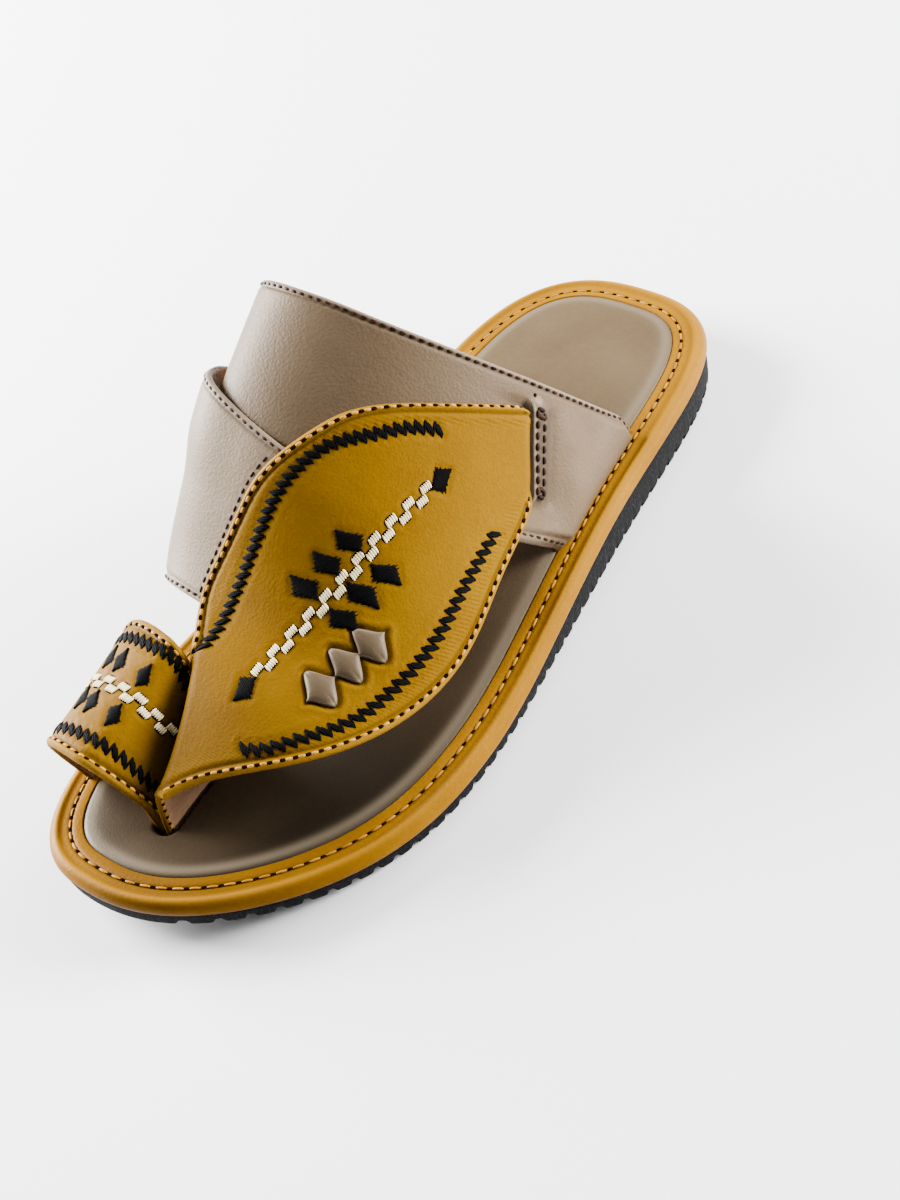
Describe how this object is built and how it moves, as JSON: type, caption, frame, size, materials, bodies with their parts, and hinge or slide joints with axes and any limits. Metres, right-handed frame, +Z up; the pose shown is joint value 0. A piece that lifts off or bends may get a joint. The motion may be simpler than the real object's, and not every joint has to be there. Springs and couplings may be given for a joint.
{
  "type": "toe-loop sandal",
  "caption": "Open leather slip-on sandal for the left foot, with a leaf-shaped vamp, a toe loop, crossed instep straps and a stitched foam sole.",
  "frame": {"origin": "on the floor, under the middle of the sandal's box", "axes": "+Y along the foot from toe to heel, +X to the outer side of the left foot, +Z up"},
  "size_m": [0.1274, 0.29, 0.1043],
  "materials": {
    "outsole": "dark grey-black fine-grained sole foam",
    "rand": "smooth mustard leather wrapped round the midsole, satin",
    "insole": "smooth taupe-brown padded leather, satin",
    "straps": "fine-grained taupe leather, satin",
    "vamp": "fine-grained mustard leather, satin",
    "puffs": "smooth taupe leather, satin"
  },
  "bodies": {
    "root": {"outsole": "outsole", "rand": "rand", "insole": "insole", "instep_straps": "straps", "vamp": "vamp", "toe_loop": "vamp", "vamp_puff_1": "puffs", "vamp_puff_2": "puffs", "vamp_puff_3": "puffs"}
  },
  "joints": []
}
